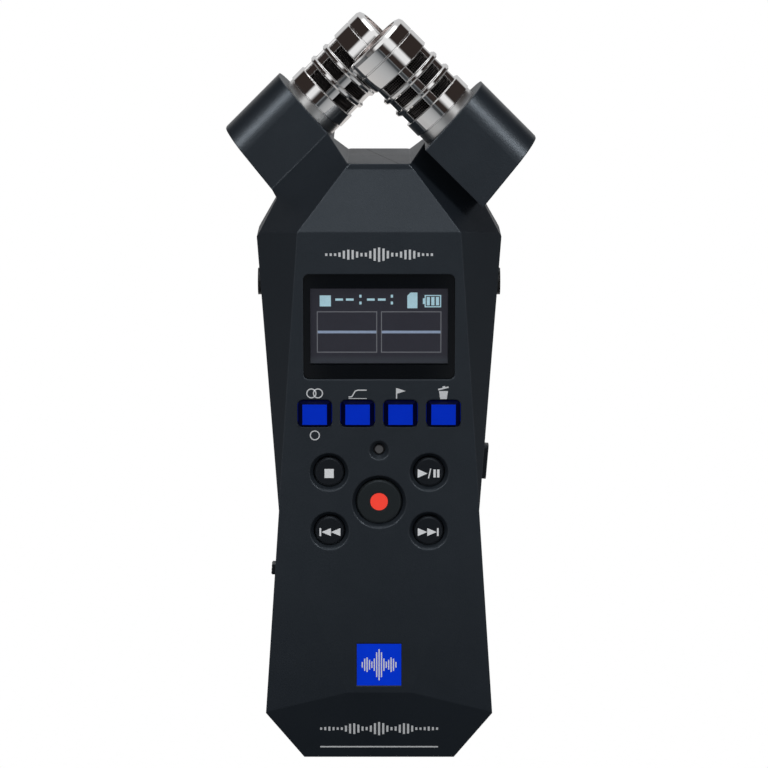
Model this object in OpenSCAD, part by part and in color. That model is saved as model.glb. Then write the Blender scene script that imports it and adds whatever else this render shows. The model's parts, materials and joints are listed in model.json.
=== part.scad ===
// Portable stereo field recorder with two crossed microphones.
// The recorder stands on its foot: +Z runs from the foot to the microphones,
// the control face looks along -Y, and +X is on the user's right.
// The head is the same seen from the front and from the back: the right
// microphone arm belongs to the front shell and the left arm to the rear shell.

/* [Body] */
// Depth of the body from the control face to the back
body_depth = 28; // [27.6:0.1:28.6]
// Wall thickness of the moulded shells
wall = 1.6; // [1.5:0.05:1.7]
// Half width of the flat foot
foot_half_w = 14.5; // [13.5:0.1:15.5]
// Half width at the chin corners
chin_half_w = 21.8; // [21.4:0.1:22.4]
// Height of the chin corners
chin_z = 9.7; // [9.4:0.1:10.2]
// Half width at the waist
waist_half_w = 19.0; // [18.8:0.1:19.4]
// Height of the waist
waist_z = 50.2; // [49.5:0.1:51]
// Half width at the head, the widest place of the body
head_half_w = 23.1; // [22.8:0.1:23.6]
// Height of the widest place
head_z = 101.5; // [101:0.1:102]
// Height of the saddle floor between the microphone arms
saddle_z = 116; // [115.6:0.1:116.4]
// Half width of the saddle floor
saddle_half_w = 5.9; // [5.4:0.1:6.4]

/* [Microphones] */
// Radius of the polished bands of a microphone
mic_r = 6.6; // [6.4:0.05:6.7]
// Length of a microphone from its arm to its tip
mic_len = 20; // [19.6:0.1:20.4]
// Number of openings around each row of slots
slot_count = 6; // [4:1:8]
// Angle that one opening takes up
slot_angle = 42; // [30:1:42]

/* [Controls] */
// Spacing of the four function keys
key_pitch = 8.08; // [7.8:0.01:8.3]
// Width of a function key at its foot
key_w = 6.3; // [6:0.1:6.6]
// Height of a function key at its foot
key_h = 5.0; // [4.8:0.1:5.2]
// Radius of the record button
record_r = 4.25; // [4:0.05:4.4]
// Radius of the other transport buttons
button_r = 2.8; // [2.6:0.05:2.9]
// Travel of every key and button
key_travel = 0.5; // [0.3:0.1:0.5]

/* [Display] */
// Width of the display window
window_w = 28.2; // [27.8:0.1:28.4]
// Height of the display window
window_h = 19.9; // [19.5:0.1:20.2]
// Width of the lit area of the display
screen_w = 25.8; // [25:0.1:26]
// Height of the lit area of the display
screen_h = 14.0; // [13.5:0.1:14.4]

/* [Power] */
// Radius of an AAA cell
cell_r = 5.2; // [5.15:0.01:5.25]
// Length of an AAA cell with its nub
cell_len = 44.4; // [44.2:0.1:44.5]

/* [Hidden] */
$fn = 48;

// Colours
shell_black = [0.12, 0.13, 0.14];
key_blue = [0.05, 0.16, 0.75];
board_green = [0.06, 0.30, 0.16];
dark_part = [0.08, 0.08, 0.09];
steel_grey = [0.70, 0.71, 0.73];

// General values
big = 100;                      // larger than any piece, for cutting tools
gap = 0.1;                      // assembly gap between neighbouring pieces
half_d = body_depth / 2;
inner_y = half_d - wall;        // distance from the parting plane to the inner wall
bend_swell = 1.18;              // how much thicker a cable is where it bends
ridge_sum = 130.05;             // height plus half width along the shoulder ridge

// Facets of the body
brow_half_w = 15.2;             // lower corner of the sloped brow
brow_z = 103.65;
brow_top_y = half_d - 3.2;      // the brow leans back by this much at its top
brow_top_z = 114.95;
bevel_back = 8;                 // depth that the side bevel takes at the head
chin_top_z = 14.16;
chin_crease_half_w = 6.17;
chin_back = 3.6;                // the chin leans back by this much at the foot
chin_corner_y = half_d - chin_back * (chin_top_z - chin_z) / chin_top_z;
ease = 0.05;                    // keeps more than three facets from meeting in one point
middle = [0, 0, 60];            // a point well inside the body

// Microphone arms
saddle_slope = 1.12;            // rise over run of the arm faces beside the saddle
axis_sum = 137.35;              // height plus half width along a microphone axis
root_x = (axis_sum - saddle_z + saddle_slope * saddle_half_w) / (1 + saddle_slope);
mic_root = [root_x, -half_d / 2, axis_sum - root_x];
arm_out = 8.85;                 // arm width outside the microphone axis
arm_in = 6.9;                   // arm width on the body's side of the axis
arm_round = 5.5;                // rounding of the outer long edges
arm_far = [28.9, 0, 120.2];     // outer corner of the arm
arm_slope = 1.25;               // rise over run of the arm's lower face
arm_bore_r = 5.25;
arm_bore_depth = 11;
duct_r = 1;
duct_s = -9.5;                  // place of the cable duct along the microphone axis
duct_y = -1.4;                  // the duct runs close to the parting plane
duct_off = duct_y - mic_root[1];
duct_len = 14;

// Microphone: places along its axis, counted from the arm
base_start = -0.8;
base_end = 1.6;
groove_end = 1.85;
foot_band_end = 4.6;
slot_h = 2.1;
rib_h = 1.05;
slots_start = foot_band_end + 0.1;
row_pitch = slot_h + rib_h;
slots_end = slots_start + 3 * slot_h + 2 * rib_h;
band_groove = 16.6;
band_groove_h = 0.3;
row_r = mic_r - 0.25;
grille_in_r = 5.75;
rim_round = 0.9;

// Control face
keys_z = 69.1;
record_pos = [0, 51.9];
stop_pos = [-9.45, 57.7];
play_pos = [9.45, 57.7];
rewind_pos = [-9.4, 46.25];
forward_pos = [9.4, 46.25];
lamp_pos = [0, 61.95];
lamp_r = 0.95;
badge_z = 19.75;
badge_w = 8.5;
badge_h = 8.3;
badge_t = 0.25;
key_rise = 1.2;                 // height of a function key above the face
dish_depth = 0.95;              // depth of the conical rim around a button
dish_grow = 0.95;               // how much wider the rim is than the button hole
cap_y = -half_d + 0.15;         // top of the transport buttons
flange_t = 1;
flange_y = -inner_y + gap;      // front of the flange behind the wall

// Display
window_z = 85.65;
screen_z = 85.7;
window_y = -half_d + 0.7;       // the window sits this far below the face

// Main board
board_t = 1.2;
board_front = -7;
board_back = board_front + board_t;
board_screw_places = [[-12.5, 30], [12.5, 38], [0, 101.8]];
board_screw_r = 0.8;
switch_body = [4.2, 2, 4.2];
switch_plunger_r = 1;
plunger_h = 0.6;
plunger_tip = board_front - switch_body[1] - plunger_h;
stem_end = plunger_tip - key_travel - gap;

// Sides
side_slope_up = (head_half_w - waist_half_w) / (head_z - waist_z);
side_slope_low = (chin_half_w - waist_half_w) / (waist_z - chin_z);
tilt_up = atan(side_slope_up);
tilt_low = atan(side_slope_low);
jack_y = -3.2;
jack_z = 92.5;
jack_r = 2.55;
jack_bore_r = 1.8;
jack_proud = 0.6;
usb_z = 24;
usb_y = -4.2;
usb_w = 8.9;
usb_h = 3.2;
rocker_z = 57.5;
rocker_y = -3.4;
rocker_len = 6.8;
rocker_w = 3;
rocker_proud = 1.2;
rocker_pivot = 3;               // depth of the rocker's pivot below the side face
slider_z = 36.3;
slider_y = -4.2;
slider_len = 2.0;
slider_w = 2.8;
slider_travel = 1.8;
door_z = 70;
door_y = -5;
door_len = 15;
door_w = 5.4;
door_t = 1.4;
door_pin_r = 0.4;
pin_gap = 0.05;

// Back
cell_x = 5.6;
cell_y = 6.75;
tray_low = 13.2;
tray_len = 48;
tray_wall = 1;
tray_half_w = 11.2;
tray_floor_y = 0.3;
cover_half_w = 12.6;
cover_top = 62;
cover_t = 1.5;
speaker_z = 89.5;
speaker_r = 8;
insert_z = 72.5;
insert_r = 4.4;
insert_bore_r = 2.6;
insert_len = 7;
screw_places = [[15.4, 16.5], [12.4, 100.2]];
screw_r = 1;
screw_head_r = 1.9;
screw_sink = 2.2;               // depth of the screw heads' seats below the back

function side_x(z) = z > waist_z
    ? waist_half_w + side_slope_up * (z - waist_z)
    : waist_half_w + side_slope_low * (waist_z - z);

// Unit normal of the plane through three points, pointing away from the body's middle
function outward(a, b, c) =
    let (n = cross(b - a, c - a) / norm(cross(b - a, c - a)))
    n * (a - middle) > 0 ? n : -n;

// Where two edges of a polygon meet after each has moved inwards by t
function edge_shift(a, b, t) = let (d = (b - a) / norm(b - a)) a + t * [-d[1], d[0]];
function meet(p, d, q, e) = p + d * (((q - p)[0] * e[1] - (q - p)[1] * e[0]) / (d[0] * e[1] - d[1] * e[0]));
function inset(pts, t) = [
    for (i = [0 : len(pts) - 1])
        let (
            a = pts[(i + len(pts) - 1) % len(pts)],
            b = pts[i],
            c = pts[(i + 1) % len(pts)]
        )
        meet(edge_shift(a, b, t), b - a, edge_shift(b, c, t), c - b)
];

// Outline of the body in the parting plane, as x and z, anticlockwise
shoulder_run = 0.544;           // run over rise of the shoulder's side
// The arm's lower face continued to x = 0, and where the shoulder's side and ridge meet it
arm_foot_z = arm_far[2] - arm_slope * arm_far[0] + ease;
notch_x = (head_half_w + shoulder_run * (head_z - arm_foot_z)) / (1 + shoulder_run * arm_slope);
elbow_x = (ridge_sum - arm_foot_z) / (1 + arm_slope);
peak_h = (ridge_sum - saddle_half_w - saddle_z) / (1 + 1 / saddle_slope);
body_side = [
    [foot_half_w, 0],
    [chin_half_w, chin_z],
    [waist_half_w, waist_z],
    [head_half_w, head_z],
    [notch_x, arm_foot_z + arm_slope * notch_x],
    [elbow_x, ridge_sum - elbow_x]
];
saddle_edge = [
    [saddle_half_w + peak_h / saddle_slope, saddle_z + peak_h],
    [saddle_half_w, saddle_z]
];
ridge_top = [[1, ridge_sum - 1]];   // where the shoulder ridges would meet without the saddle
function both_sides(half) =
    concat(half, [for (i = [len(half) - 1 : -1 : 0]) [-half[i][0], half[i][1]]]);

// The flat facets on one side (s = -1 or 1) of one face (f = -1 front, 1 back), three points each
function facets(s, f) = [
    [   // shoulder
        [s * brow_half_w, f * half_d, brow_z],
        [s * (ridge_sum - brow_z), 0, brow_z],
        [s * (ridge_sum - brow_z - 1), 0, brow_z + 1]
    ],
    [   // side bevel above the waist
        [s * waist_half_w, f * (half_d + ease), waist_z],
        [s * brow_half_w, f * (half_d + ease), brow_z],
        [s * head_half_w, f * (half_d - bevel_back), head_z]
    ],
    [   // shallow facet below the waist
        [s * waist_half_w, f * (half_d + ease), waist_z],
        [s * chin_crease_half_w, f * half_d, chin_top_z],
        [s * chin_half_w, f * (chin_corner_y + ease), chin_z]
    ],
    [   // chin
        [0, f * half_d, chin_top_z],
        [s, f * half_d, chin_top_z],
        [0, f * (half_d - chin_back), 0]
    ]
];

// Everything beyond the plane through p with outward normal n
module beyond(p, n) {
    translate(p)
        rotate([0, acos(n[2] / norm(n)), atan2(n[1], n[0])])
            translate([-big, -big, 0])
                cube([2 * big, 2 * big, big]);
}

// The faceted body without its arms, with every face moved inwards by t. At t = 0 it still
// holds the material that the saddle takes away.
module core(t) {
    outline = both_sides(concat(body_side, t > 0 ? saddle_edge : ridge_top));
    difference() {
        rotate([90, 0, 0])
            linear_extrude(height = body_depth - 2 * t, center = true)
                polygon(inset(outline, t));
        for (s = [-1, 1], f = [-1, 1], q = facets(s, f))
            let (n = outward(q[0], q[1], q[2]))
                beyond(q[0] - t * n, n);
        for (f = [-1, 1])
            brow_cut(f, t);
    }
}

// The brow leans back and turns upright again in a narrow strip below the saddle
module brow_cut(f, t) {
    foot = [0, f * half_d, brow_z];
    n = outward(foot, foot + [1, 0, 0], [0, f * brow_top_y, brow_top_z]);
    difference() {
        beyond(foot - t * n, n);
        translate([-big, -brow_top_y + t, brow_top_z + (t > 0 ? big : 0)])
            cube([2 * big, 2 * (brow_top_y - t), big]);
    }
}

// Puts a piece drawn along the microphone's own axis onto the right (1) or left (-1) arm
module at_mic(side) {
    rotate([0, 0, side > 0 ? 0 : 180])
        translate(mic_root)
            rotate([0, -45, 0])
                children();
}

// Block of the right arm before its bore, rounded along its outer edges. It stops just short
// of the parting plane.
module arm_block() {
    front = -half_d / 2;
    depth = half_d - ease;
    difference() {
        at_mic(1)
            translate([0, 0, -20])
                linear_extrude(height = 36) {
                    translate([-arm_in, front])
                        square([arm_in + arm_out - arm_round, depth]);
                    translate([0, front + arm_round])
                        square([arm_out, depth - 2 * arm_round]);
                    for (y = [front + arm_round, front + depth - arm_round])
                        translate([arm_out - arm_round, y])
                            circle(r = arm_round);
                }
        beyond(arm_far, [arm_slope, 0, -1]);
    }
}

// The open notch between the two arms
module saddle_notch() {
    notch_h = 30;
    rotate([90, 0, 0])
        linear_extrude(height = 2 * big, center = true)
            polygon([
                [-saddle_half_w, saddle_z],
                [saddle_half_w, saddle_z],
                [saddle_half_w + notch_h / saddle_slope, saddle_z + notch_h],
                [-saddle_half_w - notch_h / saddle_slope, saddle_z + notch_h]
            ]);
}

// Bore for the microphone's stem, seat for its ring, and the duct for its cable
module arm_bore() {
    at_mic(1) {
        translate([0, 0, -arm_bore_depth])
            cylinder(r = arm_bore_r, h = arm_bore_depth + 8);
        translate([0, 0, base_start - gap])
            cylinder(r = row_r + 0.05, h = 8);
        translate([0, duct_off, duct_s])
            rotate([0, -90, 0])
                cylinder(r = duct_r, h = duct_len);
    }
}

// One half of the case with its arm: front half with the right arm
module half_case() {
    difference() {
        union() {
            intersection() {
                core(0);
                translate([-big, -big, -big])
                    cube([2 * big, big, 3 * big]);
            }
            arm_block();
        }
        saddle_notch();
        intersection() {
            core(wall);
            translate([-big, -big, -big])
                cube([2 * big, big + gap / 10, 3 * big]);
        }
        arm_bore();
    }
}

// A rectangle with rounded corners, centred
module rounded_rect(w, h, r) {
    square([w - 2 * r, h], center = true);
    square([w, h - 2 * r], center = true);
    for (i = [-1, 1], j = [-1, 1])
        translate([i * (w / 2 - r), j * (h / 2 - r)])
            circle(r = r);
}

// Draws a flat shape at x, z and gives it depth from y0 to y1
module slab(x, z, y0, y1) {
    translate([x, y1, z])
        rotate([90, 0, 0])
            linear_extrude(height = y1 - y0)
                children();
}

// A round rod along Y at x, z from y0 to y1
module rod_y(x, z, r, y0, y1) {
    translate([x, y1, z])
        rotate([90, 0, 0])
            cylinder(r = r, h = y1 - y0);
}

// A round wire through a list of points
module wire(points, r) {
    for (i = [0 : len(points) - 2])
        let (a = points[i], d = points[i + 1] - points[i])
            translate(a)
                rotate([0, acos(d[2] / norm(d)), atan2(d[1], d[0])])
                    cylinder(r = r, h = norm(d), $fn = 24);
    for (p = points)
        translate(p)
            sphere(r = bend_swell * r, $fn = 24);
}

// Frame on a side face: local X points out of the face, local Z along it upwards
module on_side(side, y, z) {
    tilt = z > waist_z ? tilt_up : -tilt_low;
    translate([side * side_x(z), y, z])
        rotate([0, side * tilt, 0])
            rotate([0, 0, side > 0 ? 0 : 180])
                children();
}

// Posts for the case screws, shaped by the outside of the case
module screw_posts(r, y0, y1) {
    intersection() {
        core(wall / 2);
        for (s = [-1, 1], p = screw_places)
            rod_y(s * p[0], p[1], r, y0, y1);
    }
}

// Conical rim and straight hole for a round button
module button_hole(pos, r) {
    rod_y(pos[0], pos[1], r + 0.15, -half_d - 1, -inner_y + 1);
    translate([pos[0], -half_d - 0.01, pos[1]])
        rotate([-90, 0, 0])
            cylinder(r1 = r + dish_grow, r2 = r + 0.15, h = dish_depth);
}

module front_shell() {
    color(shell_black)
        difference() {
            union() {
                half_case();
                difference() {
                    screw_posts(2.4, -inner_y - 0.5, -0.1);
                    for (s = [-1, 1], p = screw_places)
                        rod_y(s * p[0], p[1], screw_r - 0.15, -10, 1);
                }
                for (p = board_screw_places)
                    difference() {
                        rod_y(p[0], p[1], 2.2, -inner_y - 0.5, board_front - gap / 2);
                        rod_y(p[0], p[1], board_screw_r + 0.05, board_front - 3, 0);
                    }
            }
            slab(0, window_z, -half_d - 1, -inner_y + 1)
                rounded_rect(window_w + 2 * gap, window_h + 2 * gap, 1.1);
            for (i = [-1.5 : 1 : 1.5])
                slab(i * key_pitch, keys_z, -half_d - 1, -inner_y + 1)
                    rounded_rect(key_w + 0.25, key_h + 0.25, 1.1);
            for (p = [stop_pos, play_pos, rewind_pos, forward_pos])
                button_hole(p, button_r);
            button_hole(record_pos, record_r);
            button_hole(lamp_pos, lamp_r);
            slab(0, badge_z, -half_d - 1, -half_d + badge_t)
                square([badge_w + gap, badge_h + gap], center = true);
            for (s = [-1, 1])
                translate([s * side_x(jack_z), jack_y, jack_z])
                    rotate([0, 90, 0])
                        cylinder(r = jack_r + gap, h = 8, center = true);
            translate([side_x(usb_z), usb_y, usb_z])
                rotate([90, 0, 90])
                    linear_extrude(height = 8, center = true)
                        rounded_rect(usb_h + 2 * gap, usb_w + 2 * gap, usb_h / 2);
            on_side(1, rocker_y, rocker_z)
                cube([8, rocker_w + 0.3, rocker_len + 0.7], center = true);
            on_side(-1, slider_y, slider_z)
                cube([8, slider_w + 0.3, slider_len + 2 * slider_travel + 0.4], center = true);
            on_side(-1, door_y, door_z)
                cube([8, door_w + 0.3, door_len + 0.3], center = true);
            on_side(-1, door_y, door_z)
                translate([-door_t / 2, 0, -door_len / 2 + door_t / 2])
                    rotate([90, 0, 0])
                        cylinder(r = door_pin_r + pin_gap, h = door_w + 2.4, center = true, $fn = 24);
        }
}

module rear_shell() {
    color(shell_black)
        difference() {
            union() {
                rotate([0, 0, 180])
                    half_case();
                screw_posts(2.8, 0.1, inner_y + 0.5);
                difference() {
                    rod_y(0, insert_z, insert_r + 1.3, half_d - insert_len - 1, inner_y + 0.1);
                    rod_y(0, insert_z, insert_r + gap / 2, 0, half_d - gap);
                }
            }
            rod_y(0, insert_z, insert_r + gap / 2, half_d - insert_len - gap, half_d + 1);
            for (s = [-1, 1], p = screw_places) {
                rod_y(s * p[0], p[1], screw_r + 0.15, -1, half_d);
                rod_y(s * p[0], p[1], screw_head_r + 0.2, half_d - screw_sink, half_d + 1);
            }
            battery_opening();
            speaker_holes();
        }
}

// Opening in the back that the battery cover closes
module battery_opening() {
    translate([-cover_half_w - gap, half_d - chin_back - 0.9, -1])
        cube([2 * (cover_half_w + gap), 20, cover_top + gap + 1]);
}

// Rings of small round holes in front of the speaker
module speaker_holes() {
    hole_r = 0.6;
    rings = 3;
    ring_step = 1.9;
    rod_y(0, speaker_z, hole_r, half_d - 3, half_d + 1);
    for (k = [1 : rings], i = [0 : 6 * k - 1])
        rotate_about_y(360 * i / (6 * k), speaker_z)
            rod_y(k * ring_step, speaker_z, hole_r, half_d - 3, half_d + 1);
}
module rotate_about_y(a, z) {
    translate([0, 0, z])
        rotate([0, a, 0])
            translate([0, 0, -z])
                children();
}

module battery_cover() {
    grip_count = 6;
    grip_pitch = 1.3;
    grip_low = 19;
    color(shell_black) {
        intersection() {
            difference() {
                core(0);
                core(cover_t);
            }
            translate([-cover_half_w, half_d - chin_back - 0.8, -1])
                cube([2 * cover_half_w, 20, cover_top + 1]);
        }
        for (i = [0 : grip_count - 1])
            translate([-5 + 0.45 * i, half_d - 0.2, grip_low + grip_pitch * i])
                cube([10 - 0.9 * i, 0.5, 0.6]);
    }
}

module battery_tray() {
    floor_t = 0.9;
    color(dark_part)
        difference() {
            translate([-tray_half_w - tray_wall, tray_floor_y, tray_low - tray_wall])
                cube([2 * (tray_half_w + tray_wall), 9, tray_len + 2 * tray_wall]);
            translate([-tray_half_w, tray_floor_y + floor_t, tray_low])
                cube([2 * tray_half_w, 20, tray_len]);
            for (s = [-1, 1])
                translate([s * cell_x, tray_floor_y - 1, tray_low + 12])
                    slot_window(3, 22);
        }
}
module slot_window(w, h) {
    translate([-w / 2, 0, 0])
        cube([w, 4, h]);
}

module display_window() {
    color([0.05, 0.05, 0.06])
        union() {
            slab(0, window_z, window_y, -inner_y + 0.05)
                rounded_rect(window_w, window_h, 1);
            slab(0, window_z, -inner_y + 0.05, -inner_y + 0.75)
                rounded_rect(window_w + 1.2, window_h + 1.6, 1);
        }
}

module lcd_module() {
    glass_y = -inner_y + 0.85;
    color([0.2, 0.2, 0.21]) {
        translate([-14.4, glass_y, screen_z - 10.4])
            cube([28.8, 1.5, 20.8]);
        slab(0, screen_z, glass_y - 0.05, glass_y + 0.1)
            square([screen_w, screen_h], center = true);
    }
}

module lcd_frame() {
    frame_y = -inner_y + 2.45;
    color("whitesmoke")
        difference() {
            translate([-14.8, frame_y, screen_z - 11])
                cube([29.6, board_front - gap - frame_y, 22]);
            translate([-13, frame_y + 0.9, screen_z - 9.2])
                cube([26, 5, 18.4]);
        }
}

module lcd_flex() {
    flex_y = -inner_y + 1.2;
    flex_z = screen_z + 10.4;
    color([0.75, 0.45, 0.12]) {
        translate([-5, flex_y, flex_z + 0.05])
            cube([10, 0.2, 1.2]);
        translate([-5, flex_y, flex_z + 1.05])
            cube([10, board_front - gap - flex_y, 0.2]);
    }
}

// Cap with sloped sides, with a flange behind the wall and a stem to its switch
module function_key(i) {
    slope_w = 0.85;
    slope_h = 0.55;
    top = -half_d - key_rise;
    color(key_blue)
        translate([i * key_pitch, 0, keys_z]) {
            difference() {
                slab(0, 0, top, flange_y + 0.1)
                    rounded_rect(key_w, key_h, 1);
                for (s = [-1, 1]) {
                    beyond([s * key_w / 2, -half_d + 0.1, 0], [s * (key_rise + 0.1), -slope_w, 0]);
                    beyond([0, -half_d + 0.1, s * key_h / 2], [0, -slope_h, s * (key_rise + 0.1)]);
                }
            }
            slab(0, 0, flange_y, flange_y + flange_t)
                rounded_rect(key_w + 0.9, key_h + 1.4, 1);
            rod_y(0, 0, switch_plunger_r, flange_y + 0.5, stem_end);
        }
}
module mode_key() { function_key(-1.5); }
module filter_key() { function_key(-0.5); }
module marker_key() { function_key(0.5); }
module delete_key() { function_key(1.5); }

// Round cap with a softened edge, a flange behind the wall and a stem
module round_button(pos, r, pocket_r = 0) {
    edge = 0.3;
    color(shell_black)
        difference() {
            union() {
                rod_y(pos[0], pos[1], r, cap_y + edge, flange_y + 0.1);
                translate([pos[0], cap_y, pos[1]])
                    rotate([-90, 0, 0])
                        cylinder(r1 = r - edge, r2 = r, h = edge);
                rod_y(pos[0], pos[1], r + 0.8, flange_y, flange_y + flange_t);
                rod_y(pos[0], pos[1], switch_plunger_r, flange_y + 0.5, stem_end);
            }
            if (pocket_r > 0)
                rod_y(pos[0], pos[1], pocket_r, cap_y - 1, cap_y + 0.6);
        }
}
module stop_button() { round_button(stop_pos, button_r); }
module play_button() { round_button(play_pos, button_r); }
module rewind_button() { round_button(rewind_pos, button_r); }
module forward_button() { round_button(forward_pos, button_r); }
module record_button() { round_button(record_pos, record_r, 1.7); }
module record_dot() {
    color([0.95, 0.2, 0.12])
        rod_y(record_pos[0], record_pos[1], 1.65, cap_y - 0.05, cap_y + 0.55);
}

module status_lamp() {
    color([0.6, 0.6, 0.62]) {
        rod_y(lamp_pos[0], lamp_pos[1], lamp_r, -half_d + 0.95, board_front - 1);
        rod_y(lamp_pos[0], lamp_pos[1], lamp_r + 0.5, flange_y, flange_y + 0.8);
    }
}

module badge_plate() {
    color(key_blue)
        slab(0, badge_z, -half_d, -half_d + badge_t - 0.02)
            square([badge_w, badge_h], center = true);
}

module main_board() {
    color(board_green)
        difference() {
            slab(0, 0, board_front, board_back)
                polygon([
                    [11, 4], [17, 11], [16.6, waist_z], [18.6, 88],
                    [18.6, 97], [14.5, 104.5], [-14.5, 104.5], [-18.6, 97],
                    [-18.6, 88], [-16.6, waist_z], [-17, 11], [-11, 4]
                ]);
            for (s = [-1, 1], p = screw_places)
                rod_y(s * p[0], p[1], 2.6, -20, 0);
            for (p = board_screw_places)
                rod_y(p[0], p[1], board_screw_r + 0.1, -20, 0);
        }
}

// Switch bodies with plungers, one behind every key and button
module tact_switches() {
    places = concat(
        [for (i = [-1.5 : 1 : 1.5]) [i * key_pitch, keys_z]],
        [stop_pos, play_pos, record_pos, rewind_pos, forward_pos]
    );
    color(steel_grey)
        for (p = places) {
            translate([p[0] - switch_body[0] / 2, board_front - switch_body[1], p[1] - switch_body[2] / 2])
                cube(switch_body);
            rod_y(p[0], p[1], switch_plunger_r, plunger_tip, board_front - 1);
        }
}

module processor_chip() {
    color(dark_part)
        translate([-6, board_front - 0.9, 27])
            cube([12, 0.9, 12]);
}

module converter_chip() {
    color(dark_part)
        translate([2, board_back, 92.5])
            cube([6, 0.9, 6]);
}

// Board-mounted jack socket with its collar through the side wall
module jack_socket(side) {
    body_len = 11.5;
    body_h = 6.2;
    body_out = side_x(jack_z) - wall - 0.6;
    bore_in = body_out - 10;
    tip = side_x(jack_z) + jack_proud;
    color([0.1, 0.1, 0.11])
        difference() {
            union() {
                translate([side > 0 ? body_out - body_len : -body_out, board_back, jack_z - body_h / 2])
                    cube([body_len, 2 * (jack_y - board_back), body_h]);
                translate([side > 0 ? body_out - 1 : -tip, jack_y, jack_z])
                    rotate([0, 90, 0])
                        cylinder(r = jack_r, h = tip - body_out + 1);
            }
            translate([side > 0 ? bore_in : -tip - 1, jack_y, jack_z])
                rotate([0, 90, 0])
                    cylinder(r = jack_bore_r, h = tip + 1 - bore_in);
        }
}
module mic_jack() { jack_socket(-1); }
module phone_jack() { jack_socket(1); }

module usb_port() {
    port_len = 7.2;
    shell_t = 0.3;
    outer = side_x(usb_z) - 0.35;
    color(steel_grey)
        translate([outer - port_len, usb_y, usb_z])
            rotate([90, 0, 90]) {
                difference() {
                    linear_extrude(height = port_len)
                        rounded_rect(usb_h, usb_w, usb_h / 2 - 0.05);
                    translate([0, 0, 0.8])
                        linear_extrude(height = port_len)
                            rounded_rect(usb_h - 2 * shell_t, usb_w - 2 * shell_t, usb_h / 2 - shell_t - 0.05);
                }
                translate([-0.35, -3.3, 0.4])
                    cube([0.7, 6.6, port_len - 1.6]);
            }
}

card_x = -18.6;
card_len = 15;
card_w = 11;
card_t = 0.8;
module card_socket() {
    color(steel_grey)
        difference() {
            translate([card_x + 1.2, board_back, door_z - 7])
                cube([14.6, 1.6, 14]);
            translate([card_x, board_back + 0.4, door_z - card_w / 2 - 0.1])
                cube([card_len + 0.2, card_t + 0.2, card_w + 0.2]);
        }
}
module memory_card() {
    color(dark_part)
        translate([card_x, board_back + 0.5, door_z - card_w / 2])
            cube([card_len, card_t, card_w]);
}

// Flush door on the left side, turning on a pin at its lower end
module card_door() {
    pull_w = 2.6;
    pull_depth = 0.5;
    color(shell_black)
        on_side(-1, door_y, door_z)
            difference() {
                union() {
                    translate([-door_t, -door_w / 2, -door_len / 2 + door_t / 2])
                        cube([door_t, door_w, door_len - door_t / 2]);
                    translate([-door_t / 2, 0, -door_len / 2 + door_t / 2])
                        rotate([90, 0, 0])
                            cylinder(r = door_t / 2, h = door_w, center = true);
                }
                translate([-door_t / 2, 0, -door_len / 2 + door_t / 2])
                    rotate([90, 0, 0])
                        cylinder(r = door_pin_r + pin_gap, h = door_w + 2, center = true);
                translate([-pull_depth, -pull_w / 2, door_len / 2 - 0.8])
                    cube([2, pull_w, 2]);
            }
}
module door_pin() {
    color(steel_grey)
        on_side(-1, door_y, door_z)
            translate([-door_t / 2, 0, -door_len / 2 + door_t / 2])
                rotate([90, 0, 0])
                    cylinder(r = door_pin_r, h = door_w + 2.2, center = true, $fn = 24);
}

// Bar that tips about a pivot behind the side wall
module volume_rocker() {
    color(shell_black)
        on_side(1, rocker_y, rocker_z) {
            translate([-rocker_pivot, 0, 0])
                rotate([0, 90, 0])
                    linear_extrude(height = rocker_pivot + rocker_proud)
                        rounded_rect(rocker_len, rocker_w, 0.8);
            translate([-rocker_pivot, 0, 0])
                rotate([90, 0, 0])
                    cylinder(r = 0.8, h = rocker_w + 1.6, center = true);
        }
}
module volume_switches() {
    body_x = side_x(rocker_z) - rocker_pivot - 0.6;
    color(dark_part)
        for (s = [-1, 1])
            translate([body_x - 1.9, board_back, rocker_z + s * 2.7 - 1.5])
                cube([1.5, 3, 3]);
}

// Nub with a plate behind the wall that covers the slot
module power_slider() {
    plate_len = slider_len + 4 * slider_travel + 1;
    color(shell_black)
        on_side(-1, slider_y, slider_z) {
            translate([-wall - 0.2, -slider_w / 2, -slider_len / 2])
                cube([wall + 0.2 + 0.7, slider_w, slider_len]);
            for (k = [-1 : 1])
                translate([0.6, -slider_w / 2, k * 0.7 - 0.15])
                    cube([0.22, slider_w, 0.3]);
            translate([-wall - 0.8, -slider_w / 2, -plate_len / 2])
                cube([0.7, slider_w, plate_len]);
        }
}
module power_switch() {
    color(steel_grey)
        translate([-side_x(slider_z) + wall + 1.3, board_back, slider_z - 3.4])
            cube([3, 2.6, 6.8]);
}

// AAA cell with its nub up (1) or down (-1)
module cell(x, z, up) {
    nub_r = 1.9;
    nub_h = 1.1;
    color([0.75, 0.55, 0.2])
        translate([x, cell_y, z + (up > 0 ? 0 : cell_len)])
            rotate([up > 0 ? 0 : 180, 0, 0]) {
                cylinder(r = cell_r, h = cell_len - nub_h);
                cylinder(r = nub_r, h = cell_len);
            }
}
spring_h = 3;
module battery_left() { cell(-cell_x, tray_low + spring_h + 0.2, 1); }
module battery_right() { cell(cell_x, tray_low + tray_len - spring_h - 0.2 - cell_len, -1); }

// Conical contact springs, one at each cell's flat end
module battery_springs() {
    color(steel_grey) {
        translate([-cell_x, cell_y, tray_low + 0.15])
            coil();
        translate([cell_x, cell_y, tray_low + tray_len - 0.15])
            rotate([180, 0, 0])
                coil();
    }
}

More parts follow.
